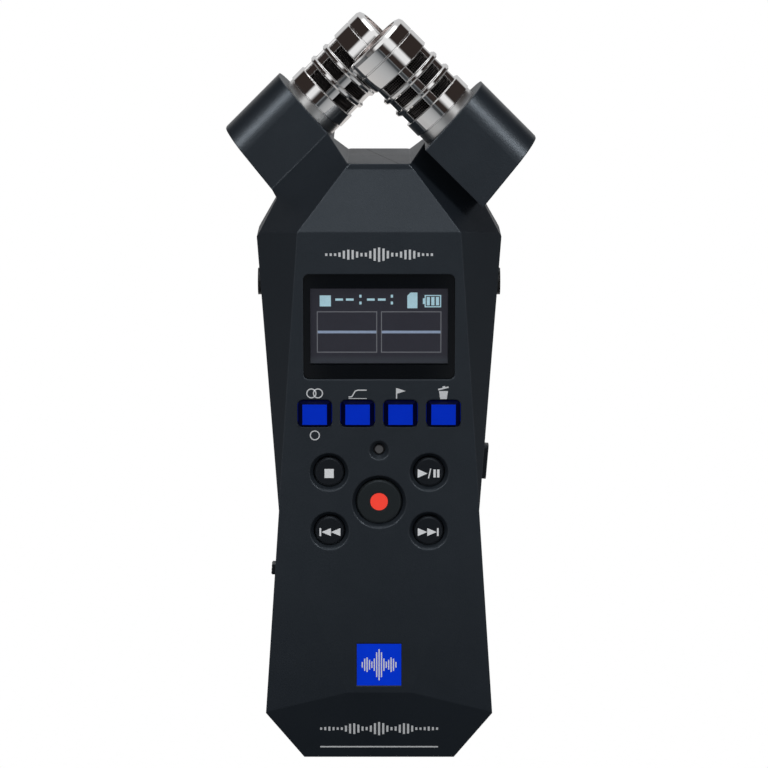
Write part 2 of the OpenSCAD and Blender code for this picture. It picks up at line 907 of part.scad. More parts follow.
// A tapering helix of round wire
module coil() {
    wire_r = 0.25;
    low_r = 3.2;
    top_r = 1.6;
    turns = 3;
    per_turn = 16;
    sides = 6;
    count = turns * per_turn;
    rise = spring_h - 2 * wire_r - 0.1;
    rings = [
        for (i = [0 : count])
            let (
                a = 360 * i / per_turn,
                r = low_r + (top_r - low_r) * i / count,
                z = wire_r + rise * i / count
            )
            for (k = [0 : sides - 1])
                let (b = 360 * k / sides, q = r + wire_r * cos(b))
                [q * cos(a), q * sin(a), z + wire_r * sin(b)]
    ];
    walls = [
        for (i = [0 : count - 1], k = [0 : sides - 1])
            let (a = i * sides, b = a + sides, n = (k + 1) % sides)
            each [[a + k, b + k, b + n], [a + k, b + n, a + n]]
    ];
    ends = [
        [for (k = [0 : sides - 1]) k],
        [for (k = [sides - 1 : -1 : 0]) count * sides + k]
    ];
    polyhedron(points = rings, faces = concat(walls, ends));
}

// Flat contact plates at both ends of the tray
module battery_contacts() {
    plate_t = 0.15;
    color(steel_grey)
        for (s = [-1, 1]) {
            translate([s * cell_x - 4, cell_y - 4, tray_low + tray_len - (s < 0 ? plate_t : 0.1)])
                cube([8, 6, s < 0 ? plate_t : 0.1]);
            translate([s * cell_x - 4, cell_y - 4, tray_low])
                cube([8, 6, s < 0 ? 0.1 : plate_t]);
        }
}

module speaker() {
    basket_h = 3;
    magnet_h = 1.4;
    face_y = inner_y - 0.45;
    color([0.25, 0.25, 0.26]) {
        difference() {
            rod_y(0, speaker_z, speaker_r, face_y - basket_h, face_y);
            rod_y(0, speaker_z, speaker_r - 0.8, face_y - 0.5, face_y + 1);
        }
        rod_y(0, speaker_z, 4.5, face_y - basket_h - magnet_h, face_y - basket_h + 0.1);
    }
}
module speaker_cloth() {
    color([0.07, 0.07, 0.07])
        rod_y(0, speaker_z, speaker_r, inner_y - 0.4, inner_y - 0.1);
}

module tripod_insert() {
    color([0.72, 0.58, 0.3])
        difference() {
            rod_y(0, insert_z, insert_r, half_d - insert_len, half_d - gap);
            rod_y(0, insert_z, insert_bore_r, half_d - insert_len + 0.8, half_d + 1);
        }
}

module case_screws() {
    head_y = half_d - screw_sink;
    head_h = 1.4;
    color(steel_grey)
        for (s = [-1, 1], p = screw_places)
            difference() {
                union() {
                    rod_y(s * p[0], p[1], screw_r - 0.17, -6, head_y + 0.5);
                    rod_y(s * p[0], p[1], screw_head_r, head_y + 0.02, head_y + head_h);
                }
                for (a = [0, 90])
                    translate([s * p[0], head_y + head_h, p[1]])
                        rotate([0, a, 0])
                            cube([0.5, head_h, 2.2], center = true);
            }
}

module board_screws() {
    color(steel_grey)
        for (p = board_screw_places) {
            rod_y(p[0], p[1], board_screw_r, board_front - 2.5, board_back + 0.3);
            rod_y(p[0], p[1], 1.5, board_back + 0.01, board_back + 0.9);
        }
}

// Ring and stem that hold the microphone in its arm
module mic_base(side) {
    stem_depth = 8;
    color(steel_grey)
        at_mic(side)
            difference() {
                union() {
                    translate([0, 0, -stem_depth])
                        cylinder(r = arm_bore_r - 0.05, h = stem_depth);
                    translate([0, 0, base_start])
                        cylinder(r = row_r, h = base_end - base_start);
                    cylinder(r = grille_in_r - 0.05, h = groove_end + 1.5);
                }
                translate([0, 0, -stem_depth - 1])
                    cylinder(r = 4.4, h = stem_depth + 5);
            }
}

// Polished tube with bands, ribs and three rows of openings
module mic_grille(side) {
    profile = [
        [grille_in_r, base_end + 0.02],
        [mic_r - 0.35, base_end + 0.02],
        [mic_r - 0.35, groove_end],
        [mic_r, groove_end],
        [mic_r, foot_band_end],
        [row_r, slots_start],
        [row_r, slots_start + slot_h],
        [mic_r + 0.05, slots_start + slot_h + 0.25],
        [mic_r + 0.05, slots_start + row_pitch - 0.25],
        [row_r, slots_start + row_pitch],
        [row_r, slots_start + row_pitch + slot_h],
        [mic_r + 0.05, slots_start + row_pitch + slot_h + 0.25],
        [mic_r + 0.05, slots_start + 2 * row_pitch - 0.25],
        [row_r, slots_start + 2 * row_pitch],
        [row_r, slots_end],
        [mic_r, slots_end + 0.1],
        [mic_r, band_groove],
        [mic_r - 0.2, band_groove],
        [mic_r - 0.2, band_groove + band_groove_h],
        [mic_r, band_groove + band_groove_h],
        [mic_r, mic_len - rim_round],
        [mic_r - rim_round * 0.3, mic_len - rim_round * 0.3],
        [mic_r - rim_round, mic_len],
        [grille_in_r - 0.5, mic_len],
        [grille_in_r - 0.5, mic_len - 0.7],
        [grille_in_r, mic_len - 0.7]
    ];
    slot_pie = concat(
        [[0, 0]],
        [for (k = [-4 : 4]) 9 * [cos(k * slot_angle / 8), sin(k * slot_angle / 8)]]
    );
    color(steel_grey)
        at_mic(side)
            difference() {
                rotate_extrude()
                    polygon(profile);
                for (row = [0 : 2], i = [0 : slot_count - 1])
                    translate([0, 0, slots_start + row * row_pitch + 0.05])
                        rotate([0, 0, 360 * (i + 0.5) / slot_count - 86])
                            linear_extrude(height = slot_h - 0.1)
                                polygon(slot_pie);
            }
}

// Woven lining of the grille with a closed end
module mic_mesh(side) {
    mesh_t = 0.25;
    mesh_r = grille_in_r - gap;
    color([0.16, 0.16, 0.17])
        at_mic(side)
            difference() {
                translate([0, 0, groove_end + 1.6])
                    cylinder(r = mesh_r, h = mic_len - 0.8 - groove_end - 1.6);
                translate([0, 0, groove_end])
                    cylinder(r = mesh_r - mesh_t, h = mic_len - 0.8 - mesh_t - groove_end);
            }
}

module mic_capsule(side) {
    color([0.55, 0.55, 0.56])
        at_mic(side) {
            translate([0, 0, groove_end + 2])
                cylinder(r = 4.9, h = 13);
            translate([0, 0, groove_end + 0.2])
                cylinder(r = 3.2, h = 2.8);
        }
}

// A point given across the arm, in depth and along the microphone axis
function mic_point(x, y, along) =
    mic_root + [(x - along) / sqrt(2), y, (x + along) / sqrt(2)];
function on_arm(p, side) = side > 0 ? p : [-p[0], -p[1], p[2]];

// Screened cable from the capsule through the arm's duct to the main board
module mic_cable(side) {
    r = 0.45;
    solder_point = [side * 9.9, board_back + r * bend_swell + 0.02, 102.5];
    arm_path = [
        mic_point(0, 0, 1.3),
        mic_point(0, 0, duct_s / 2),
        mic_point(0, duct_off - 1.2, duct_s),
        mic_point(-3, duct_off, duct_s),
        mic_point(1 - duct_len, duct_off, duct_s)
    ];
    color([0.2, 0.2, 0.2])
        wire(concat([for (p = arm_path) on_arm(p, side)], [solder_point]), r);
}

module left_mic_grille() { mic_grille(-1); }
module left_mic_mesh() { mic_mesh(-1); }
module left_mic_base() { mic_base(-1); }
module left_mic_capsule() { mic_capsule(-1); }
module left_mic_cable() { mic_cable(-1); }
module right_mic_grille() { mic_grille(1); }
module right_mic_mesh() { mic_mesh(1); }
module right_mic_base() { mic_base(1); }
module right_mic_capsule() { mic_capsule(1); }
module right_mic_cable() { mic_cable(1); }

front_shell();
rear_shell();
battery_cover();
battery_tray();
display_window();
lcd_module();
lcd_frame();
lcd_flex();
mode_key();
filter_key();
marker_key();
delete_key();
stop_button();
play_button();
record_button();
record_dot();
rewind_button();
forward_button();
status_lamp();
badge_plate();
main_board();
tact_switches();
processor_chip();
converter_chip();
mic_jack();
phone_jack();
usb_port();
card_socket();
memory_card();
card_door();
door_pin();
volume_rocker();
volume_switches();
power_slider();
power_switch();
battery_left();
battery_right();
battery_springs();
battery_contacts();
speaker();
speaker_cloth();
tripod_insert();
case_screws();
board_screws();
left_mic_grille();
left_mic_mesh();
left_mic_base();
left_mic_capsule();
left_mic_cable();
right_mic_grille();
right_mic_mesh();
right_mic_base();
right_mic_capsule();
right_mic_cable();
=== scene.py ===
import json
import math

import bmesh
import bpy
from mathutils import Matrix, Vector


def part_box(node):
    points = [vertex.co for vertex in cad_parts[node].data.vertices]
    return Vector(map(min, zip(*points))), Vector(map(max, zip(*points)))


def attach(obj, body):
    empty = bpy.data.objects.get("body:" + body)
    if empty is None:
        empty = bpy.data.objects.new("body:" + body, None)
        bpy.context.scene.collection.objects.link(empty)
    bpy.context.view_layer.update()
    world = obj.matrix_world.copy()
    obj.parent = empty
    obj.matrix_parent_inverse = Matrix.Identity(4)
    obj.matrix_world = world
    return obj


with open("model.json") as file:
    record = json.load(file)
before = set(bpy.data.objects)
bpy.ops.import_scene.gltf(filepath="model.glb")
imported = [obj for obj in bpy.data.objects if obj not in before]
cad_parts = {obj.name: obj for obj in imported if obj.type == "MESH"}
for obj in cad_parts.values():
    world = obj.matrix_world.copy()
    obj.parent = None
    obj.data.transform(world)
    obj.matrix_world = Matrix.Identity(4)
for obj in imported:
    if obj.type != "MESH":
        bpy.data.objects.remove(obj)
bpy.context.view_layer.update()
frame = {"nodes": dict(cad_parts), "record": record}
nodes = frame["nodes"]

MM = 0.001
SIDES = ("left", "right")
FUNCTION_KEYS = ("mode_key", "filter_key", "marker_key", "delete_key")


# ---------------------------------------------------------------- places taken from the frame

def middle(node):
    low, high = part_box(node)
    return (low + high) / 2


FACE_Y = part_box("badge_plate")[0].y            # the flat control face
BACK_Y = -FACE_Y                               # the flat back
MOUNTS = {m["name"]: m for m in frame["record"]["mounts"]}


# ---------------------------------------------------------------- materials

class Graph:
    """A material's node tree, with a short call for each kind of node used here."""

    def __init__(self, name):
        self.material = bpy.data.materials.new(name)
        self.material.use_nodes = True
        self.tree = self.material.node_tree
        self.tree.nodes.clear()
        self.place = self.node("ShaderNodeTexCoord").outputs["Object"]

    def node(self, kind, inputs=None, **settings):
        made = self.tree.nodes.new(kind)
        for key, value in settings.items():
            setattr(made, key, value)
        for key, value in (inputs or {}).items():
            self.put(made.inputs[key], value)
        return made

    def put(self, socket, value):
        if isinstance(value, bpy.types.NodeSocket):
            self.tree.links.new(value, socket)
        else:
            socket.default_value = value

    def noise(self, per_mm, detail=2.0, roughness=0.5):
        """Values around 0.5 that vary per_mm times in a millimetre."""
        made = self.node("ShaderNodeTexNoise", {
            "Vector": self.place, "Scale": per_mm / MM, "Detail": detail, "Roughness": roughness})
        return made.outputs["Fac"]

    def maths(self, operation, a, b=0.0):
        made = self.node("ShaderNodeMath", operation=operation)
        self.put(made.inputs[0], a)
        self.put(made.inputs[1], b)
        return made.outputs[0]

    def scaled(self, value, low, high, from_low=0.0, from_high=1.0):
        made = self.node("ShaderNodeMapRange", {
            "Value": value, "From Min": from_low, "From Max": from_high,
            "To Min": low, "To Max": high})
        return made.outputs["Result"]

    def mixed(self, share, a, b):
        made = self.node("ShaderNodeMix", data_type="RGBA")
        self.put(made.inputs["Factor"], share)
        self.put(made.inputs["A"], a)
        self.put(made.inputs["B"], b)
        return made.outputs["Result"]

    def axis(self, letter):
        """The place along one axis of the frame, in millimetres."""
        split = self.node("ShaderNodeSeparateXYZ", {"Vector": self.place})
        return self.maths("DIVIDE", split.outputs[letter], MM)

    def bump(self, height, depth_mm, strength=1.0, under=None):
        made = self.node("ShaderNodeBump", {
            "Height": height, "Distance": depth_mm * MM, "Strength": strength})
        if under is not None:
            self.put(made.inputs["Normal"], under)
        return made.outputs["Normal"]

    def edge(self, width_mm):
        """1 on sharp edges and 0 on flat faces."""
        smooth = self.node("ShaderNodeBevel", {"Radius": width_mm * MM}, samples=4).outputs["Normal"]
        flat = self.node("ShaderNodeNewGeometry").outputs["Normal"]
        dot = self.node("ShaderNodeVectorMath", operation="DOT_PRODUCT")
        self.put(dot.inputs[0], smooth)
        self.put(dot.inputs[1], flat)
        made = self.node("ShaderNodeMapRange", {
            "Value": dot.outputs["Value"], "From Min": 0.995, "From Max": 0.9,
            "To Min": 0.0, "To Max": 1.0})
        return made.outputs["Result"]

    def surface(self, **inputs):
        made = self.node("ShaderNodeBsdfPrincipled", inputs)
        return self.finish(made.outputs[0])

    def finish(self, shader):
        out = self.node("ShaderNodeOutputMaterial")
        self.tree.links.new(shader, out.inputs["Surface"])
        return self.material


def rgb(r, g, b):
    return (r, g, b, 1.0)


def shade(colour, share):
    """A colour made darker, or lighter with a share over 1."""
    return tuple(share * part for part in colour[:3]) + (1.0,)


def moulded_plastic(name, colour, roughness, grain_mm=0.09, grain_depth=0.028, wear_and_highlight=0.5, edge_mm=0.35):
    """Fine spark-eroded grain, slow colour drift, and edges polished by handling and painted lighter as a
    painted highlight.
    """
    g = Graph(name)
    # edges: real polish lowers the roughness, and the colour there is painted lighter as a painted highlight
    edge_wear_and_highlight = g.maths("MULTIPLY", g.edge(0.25), wear_and_highlight)
    drift = g.scaled(g.noise(0.05, 3.0), 0.86, 1.14)
    base = g.node("ShaderNodeVectorMath", {0: colour[:3], "Scale": drift}, operation="SCALE")
    # the lighter edge colour is a painted highlight
    light = tuple(min(1.0, 1.9 * c + 0.012) for c in colour[:3]) + (1.0,)
    fine = g.noise(1 / grain_mm, 1.0, 0.6)
    coarse = g.noise(0.35 / grain_mm, 1.0)
    grain = g.maths("ADD", g.maths("MULTIPLY", fine, 0.5), g.maths("MULTIPLY", coarse, 0.5))
    smudge = g.scaled(g.noise(0.16, 4.0, 0.6), roughness - 0.05, roughness + 0.05)
    rough = g.maths("ADD", g.scaled(grain, -0.06, 0.06), smudge)
    rough = g.maths("SUBTRACT", rough, g.maths("MULTIPLY", edge_wear_and_highlight, 0.12))
    rounded = g.node("ShaderNodeBevel", {"Radius": edge_mm * MM}, samples=6).outputs["Normal"]
    return g.surface(**{
        "Base Color": g.mixed(edge_wear_and_highlight, base.outputs["Vector"], light),
        "Roughness": rough,
        "Specular IOR Level": 0.42,
        "Specular Tint": rgb(0.80, 0.90, 1.0),
        "Normal": g.bump(grain, grain_depth, 1.0, rounded)})


def gloss_plastic(name, colour, roughness=0.16, **extra):
    """Moulded gloss with faint hairlines and fingerprints."""
    g = Graph(name)
    haze = g.scaled(g.noise(0.3, 5.0, 0.65), roughness * 0.7, roughness * 1.5)
    drift = g.mixed(g.noise(0.25, 2.0), colour, shade(colour, 0.82))
    return g.surface(**{
        "Base Color": drift, "Roughness": haze,
        "Normal": g.bump(g.noise(1.5, 2.0), 0.002), **extra})


def metal(name, colour, roughness, grain_per_mm=6.0, grain_depth=0.002, streak=(1.0, 1.0, 1.0)):
    """Bare or plated metal with streaks along one direction."""
    g = Graph(name)
    stretch = g.node("ShaderNodeVectorMath", {0: g.place, 1: streak}, operation="MULTIPLY")
    lines = g.node("ShaderNodeTexNoise", {
        "Vector": stretch.outputs["Vector"], "Scale": grain_per_mm / MM, "Detail": 3.0})
    tarnish = g.scaled(g.noise(0.4, 4.0), 0.0, 0.35)
    return g.surface(**{
        "Base Color": g.mixed(tarnish, colour, shade(colour, 0.6)),
        "Metallic": 1.0,
        "Roughness": g.maths("ADD", g.scaled(lines.outputs["Fac"], -0.05, 0.05), roughness),
        "Normal": g.bump(lines.outputs["Fac"], grain_depth)})


def chrome_plate():
    """Mirror chrome with faint polishing marks and breath haze."""
    g = Graph("chrome_plate")
    haze = g.scaled(g.noise(0.35, 5.0, 0.7), 0.015, 0.075, 0.35, 0.75)
    swirl = g.noise(9.0, 3.0, 0.7)
    rounded = g.node("ShaderNodeBevel", {"Radius": 0.12 * MM}, samples=6).outputs["Normal"]
    orange_peel = g.bump(g.noise(0.5, 1.0), 0.0035, 1.0, rounded)
    return g.surface(**{
        "Base Color": g.mixed(g.noise(0.15, 2.0), rgb(0.97, 0.955, 0.94), rgb(0.90, 0.885, 0.87)),
        "Metallic": 1.0,
        "Roughness": haze,
        "Normal": g.bump(swirl, 0.0006, 1.0, orange_peel)})


def woven_cloth():
    g = Graph("speaker_cloth_weave")
    thread_mm = 0.35
    threads_x = g.maths("SINE", g.maths("MULTIPLY", g.axis("X"), 2 * math.pi / thread_mm))
    threads_z = g.maths("SINE", g.maths("MULTIPLY", g.axis("Z"), 2 * math.pi / thread_mm))
    weave = g.maths("MULTIPLY", threads_x, threads_z)
    # painted shade: thread tops are painted lighter and the hollows between threads darker
    lit_thread_tops = g.scaled(weave, 0, 1, -1, 1)
    return g.surface(**{
        "Base Color": g.mixed(lit_thread_tops, rgb(0.008, 0.008, 0.009), rgb(0.035, 0.035, 0.038)),
        "Roughness": 0.95,
        "Sheen Weight": 0.4,
        "Normal": g.bump(weave, 0.05)})


def key_paint(name, top, slope_painted_shade, glow):
    """Satin daylight blue, bright on the face towards the user and with painted shade on the slopes. It also
    glows a little, as painted light."""
    g = Graph(name)
    normal = g.node("ShaderNodeNewGeometry").outputs["True Normal"]
    facing = g.node("ShaderNodeVectorMath", {0: normal, 1: (0.0, -1.0, 0.0)}, operation="DOT_PRODUCT")
    # painted shade: faces that turn away from the user take the deep slope colour
    share = g.scaled(facing.outputs["Value"], 0.0, 1.0, 0.86, 0.97)
    grain = g.noise(12.0, 1.0, 0.6)
    drift = g.scaled(g.noise(0.35, 3.0), 0.92, 1.08)
    colour = g.mixed(share, slope_painted_shade, top)
    tint = g.node("ShaderNodeVectorMath", {0: colour, "Scale": drift}, operation="SCALE")
    return g.surface(**{
        "Base Color": tint.outputs["Vector"],
        # the emission is painted light that makes the keys brighter
        "Emission Color": tint.outputs["Vector"], "Emission Strength": glow,
        "Roughness": g.scaled(grain, 0.34, 0.46),
        "Specular IOR Level": 0.08,
        "Normal": g.bump(grain, 0.004)})


def display_glass(low, high):
    """Smoked window: clear over the display, printed black from behind around it."""
    g = Graph("display_window_smoked")
    x, z = g.axis("X"), g.axis("Z")
    border = 0.12
    clear = 1.0
    for value, edge, sign in ((x, low.x, 1), (x, high.x, -1), (z, low.z, 1), (z, high.z, -1)):
        inside = g.maths("MULTIPLY", g.maths("SUBTRACT", value, edge / MM), sign)
        clear = g.maths("MULTIPLY", clear, g.scaled(inside, 0.0, 1.0, 0.0, border))
    see_through = g.node("ShaderNodeBsdfTransparent", {"Color": rgb(0.93, 0.94, 0.96)})
    ink = g.node("ShaderNodeBsdfPrincipled", {
        "Base Color": rgb(0.004, 0.0055, 0.008), "Roughness": g.scaled(g.noise(0.4, 4.0), 0.05, 0.12),
        "Specular IOR Level": 0.3})
    body = g.node("ShaderNodeMixShader", {"Fac": clear, 1: ink.outputs[0], 2: see_through.outputs[0]})
    shine = g.node("ShaderNodeBsdfGlossy", {
        "Color": rgb(0.9, 0.9, 0.9), "Roughness": g.scaled(g.noise(0.5, 5.0), 0.02, 0.08)})
    fresnel = g.node("ShaderNodeFresnel", {"IOR": 1.38})
    outer = g.node("ShaderNodeNewGeometry").outputs["Backfacing"]
    amount = g.maths("MULTIPLY", fresnel.outputs[0], g.maths("SUBTRACT", 1.0, outer))
    top = g.node("ShaderNodeMixShader", {"Fac": amount, 1: body.outputs[0], 2: shine.outputs[0]})
    return g.finish(top.outputs[0])


def display_panel():
    """Dark negative display with its dot grid and a faint glow at its lower edge."""
    g = Graph("display_panel")
    pitch = 0.2
    lines = None
    for letter in ("X", "Z"):
        wave = g.maths("SINE", g.maths("MULTIPLY", g.axis(letter), 2 * math.pi / pitch))
        lines = wave if lines is None else g.maths("MAXIMUM", lines, wave)
    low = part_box("lcd_module")[0].z / MM + 3.4
    glow = g.scaled(g.axis("Z"), 1.0, 0.0, low, low + 1.1)
    tint = g.mixed(g.scaled(lines, 0.0, 0.35, 0.0, 1.0), rgb(0.036, 0.034, 0.044), rgb(0.028, 0.030, 0.036))
    tint = g.mixed(g.maths("MULTIPLY", glow, 0.5), tint, rgb(0.075, 0.085, 0.095))
    return g.surface(**{
        "Base Color": tint, "Roughness": 0.35,
        "Emission Color": tint, "Emission Strength": 0.45})


def lit(name, colour, strength):
    """A display segment that gives its own light, with slight unevenness."""
    g = Graph(name)
    tint = g.mixed(g.noise(1.2, 2.0), colour, shade(colour, 0.85))
    return g.surface(**{
        "Base Color": tint, "Roughness": 0.4,
        "Emission Color": tint, "Emission Strength": strength})


def print_ink(name, colour, glow=0.0):
    """Pad-printed ink with soft mottling. A white ink also glows a little, as painted light that makes it
    brighter.
    """
    g = Graph(name)
    mottle = g.noise(4.0, 3.0)
    tint = g.mixed(mottle, colour, shade(colour, 0.8))
    return g.surface(**{
        "Base Color": tint,
        # the emission is painted light that brightens the ink
        "Emission Color": tint, "Emission Strength": glow,
        "Roughness": g.scaled(mottle, 0.45, 0.65),
        "Normal": g.bump(mottle, 0.004)})


def solder_mask():
    """Green board with copper runs under its lacquer."""
    g = Graph("board_lacquer")
    runs = g.node("ShaderNodeTexBrick", {
        "Vector": g.place, "Scale": 900.0, "Mortar Size": 0.04,
        "Color1": rgb(0.006, 0.055, 0.022), "Color2": rgb(0.008, 0.07, 0.028),
        "Mortar": rgb(0.02, 0.13, 0.05)})
    return g.surface(**{
        "Base Color": runs.outputs["Color"], "Roughness": g.scaled(g.noise(0.8, 3.0), 0.2, 0.4),
        "Normal": g.bump(runs.outputs["Fac"], 0.02)})


def cell_sleeve(node):
    """Printed sleeve in two colours, with bare metal at both ends."""
    g = Graph(node + "_sleeve")
    low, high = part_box(node)
    up = g.scaled(g.axis("Z"), 0.0, 1.0, low.z / MM, high.z / MM)
    if node == "battery_right":
        up = g.maths("SUBTRACT", 1.0, up)
    band = g.maths("GREATER_THAN", up, 0.70)
    bare = g.maths("MAXIMUM", g.maths("LESS_THAN", up, 0.012), g.maths("GREATER_THAN", up, 0.962))
    print_colour = g.mixed(band, rgb(0.015, 0.016, 0.018), rgb(0.55, 0.22, 0.06))
    return g.surface(**{
        "Base Color": g.mixed(bare, print_colour, rgb(0.7, 0.7, 0.7)),
        "Metallic": g.maths("MAXIMUM", bare, g.maths("MULTIPLY", band, 0.8)),
        "Roughness": g.scaled(g.noise(1.0, 4.0), 0.22, 0.36),
        "Normal": g.bump(g.noise(0.8, 2.0), 0.01)})


def rubber(name, colour):
    g = Graph(name)
    return g.surface(**{
        "Base Color": g.mixed(g.noise(0.6, 4.0), colour, shade(colour, 1.5)),
        "Roughness": g.scaled(g.noise(2.0, 3.0), 0.65, 0.85),
        "Normal": g.bump(g.noise(5.0, 2.0), 0.02)})


FLOOR_FRONT = rgb(0.42, 0.43, 0.44)      # the table before the recorder, behind it, and near the camera
FLOOR_BACK = rgb(0.60, 0.58, 0.57)
FLOOR_FAR = rgb(0.14, 0.15, 0.16)
DARK_CARD_AND_SHADOW = rgb(0.05, 0.055, 0.06)            # the dark strip, and the painted shadow around the foot
CARD_NEAR_W = 14.0                       # mm, half its width at the foot
CARD_FAR_W = 50.0                        # mm, half its width at its far end
CARD_REACH = 1000.0                      # mm from the foot towards the camera


def floor_paper():
    """White paper to the camera. To the recorder it is a grey table with a painted shadow around the foot,
    and dark along a strip from the foot towards the camera, and towards both sides."""
    g = Graph("studio_paper")
    x, y = g.axis("X"), g.axis("Y")
    half_width = g.scaled(y, CARD_NEAR_W, CARD_FAR_W, 0.0, -CARD_REACH)
    beside = g.maths("SUBTRACT", g.maths("ABSOLUTE", x), half_width)
    strip = g.maths("MULTIPLY", g.scaled(beside, 1.0, 0.0, -12.0, 12.0), g.scaled(y, 1.0, 0.0, -5.0, 15.0))
    # painted shadow on the table around the recorder's foot
    from_foot = g.maths("MULTIPLY", g.maths("ADD", y, 45.0), 0.8)
    foot_point = g.node("ShaderNodeCombineXYZ", {"X": x, "Y": from_foot})
    distance = g.node("ShaderNodeVectorMath", {0: foot_point.outputs[0]}, operation="LENGTH")
    foot_painted_shadow = g.scaled(distance.outputs["Value"], 0.95, 0.0, 30.0, 100.0)
    sides = g.scaled(g.maths("ABSOLUTE", x), 0.0, 0.8, 120.0, 260.0)
    # the dark card, the painted shadow around the foot and the dark sides
    card = g.maths("MAXIMUM", g.maths("MAXIMUM", strip, foot_painted_shadow), sides)
    table = g.mixed(g.scaled(y, 0.0, 1.0, -200.0, 200.0), FLOOR_FRONT, FLOOR_BACK)
    table = g.mixed(g.scaled(y, 1.0, 0.0, -700.0, -200.0), table, FLOOR_FAR)
    to_recorder = g.node("ShaderNodeEmission", {"Color": g.mixed(card, table, DARK_CARD_AND_SHADOW)})
    fibre = g.scaled(g.noise(0.8, 3.0), 0.985, 1.015)
    to_camera = g.node("ShaderNodeEmission", {"Color": rgb(1.0, 1.0, 1.0), "Strength": fibre})
    seen = g.node("ShaderNodeLightPath").outputs["Is Camera Ray"]
    both = g.node("ShaderNodeMixShader", {"Fac": seen, 1: to_recorder.outputs[0], 2: to_camera.outputs[0]})
    return g.finish(both.outputs[0])


shell_plastic = moulded_plastic("shell_plastic", (0.0060, 0.0080, 0.0108), 0.40)
cap_plastic = moulded_plastic("cap_plastic", (0.010, 0.012, 0.016), 0.40, 0.07, 0.006)
record_cap_plastic = moulded_plastic("record_cap_plastic", (0.025, 0.031, 0.033), 0.38, 0.07, 0.006)
inner_plastic = moulded_plastic("inner_plastic", (0.012, 0.012, 0.013), 0.5)
arrow_plastic = moulded_plastic("arrow_plastic", (0.030, 0.034, 0.038), 0.5)
light_guide_plastic = moulded_plastic("light_guide_plastic", (0.6, 0.6, 0.58), 0.4, 0.12, 0.004, 0.0)
# key colours: the face colour, the slope colour as painted shade, and a painted glow
key_plastic = key_paint("key_plastic", rgb(0.0005, 0.045, 0.90), rgb(0.0001, 0.0012, 0.032), 0.12)
badge_inlay = key_paint("badge_inlay", rgb(0.002, 0.056, 0.98), rgb(0.0002, 0.003, 0.055), 0.20)
socket_plastic = gloss_plastic("socket_plastic", rgb(0.008, 0.008, 0.009), 0.3)
chip_epoxy = moulded_plastic("chip_epoxy", (0.012, 0.012, 0.013), 0.55, 0.05, 0.01)
flex_film = gloss_plastic("flex_film", rgb(0.42, 0.17, 0.03), 0.2)
record_lens = gloss_plastic("record_lens", rgb(0.85, 0.05, 0.03), 0.3, **{
    "Emission Color": rgb(1.0, 0.07, 0.045), "Emission Strength": 0.58, "Specular IOR Level": 0.25})
lamp_lens = gloss_plastic("lamp_lens", rgb(0.03, 0.03, 0.033), 0.12)
lamp_dot = gloss_plastic("lamp_dot", rgb(0.20, 0.20, 0.205), 0.2)
chrome = chrome_plate()
silver_ring = metal("silver_ring", rgb(0.96, 0.95, 0.93), 0.30)
plated_steel = metal("plated_steel", rgb(0.66, 0.65, 0.63), 0.28)
# one wire in two tones: painted darker behind the slots as painted shade, lighter across the open end
shaded_mesh_wire = metal("shaded_mesh_wire", rgb(0.17, 0.155, 0.15), 0.4)
end_mesh_wire = metal("end_mesh_wire", rgb(0.52, 0.45, 0.43), 0.4)
mesh_backing = metal("mesh_backing", rgb(0.012, 0.011, 0.011), 0.7, 9.0, 0.01)
screw_black = metal("screw_black", rgb(0.045, 0.045, 0.05), 0.36)
basket_paint = metal("basket_paint", rgb(0.05, 0.05, 0.055), 0.45)
capsule_can = metal("capsule_can", rgb(0.55, 0.55, 0.56), 0.3)
insert_brass = metal("insert_brass", rgb(0.78, 0.55, 0.26), 0.26, 8.0, 0.004, (1.0, 6.0, 1.0))
cable_rubber = rubber("cable_rubber", rgb(0.012, 0.012, 0.012))
# the last number of each white ink is a painted glow
legend_ink = print_ink("legend_ink", rgb(0.80, 0.82, 0.84), 0.22)
symbol_ink = print_ink("symbol_ink", rgb(0.84, 0.86, 0.88), 0.34)
seam_shadow = print_ink("seam_shadow", rgb(0.002, 0.002, 0.003))
badge_ink = print_ink("badge_ink", rgb(0.90, 0.92, 0.95), 0.28)
segment_white = lit("segment_white", rgb(0.48, 0.71, 0.76), 0.62)
segment_blue = lit("segment_blue", rgb(0.27, 0.33, 0.43), 0.7)
segment_grey = lit("segment_grey", rgb(0.20, 0.20, 0.21), 0.5)


# ---------------------------------------------------------------- finishes of the CAD nodes

def soften(node, width_mm):
    """Rounds a CAD node's sharp edges with modifiers only, so that they catch the light."""
    piece = nodes[node]
    weld = piece.modifiers.new("weld", "WELD")
    weld.merge_threshold = 0.002 * MM
    flat = piece.modifiers.new("flat", "DECIMATE")
    flat.decimate_type = "DISSOLVE"
    flat.angle_limit = math.radians(0.4)
    bevel = piece.modifiers.new("bevel", "BEVEL")
    bevel.width = width_mm * MM
    bevel.segments = 2
    bevel.limit_method = "ANGLE"
    bevel.angle_limit = math.radians(28)
    bevel.use_clamp_overlap = True


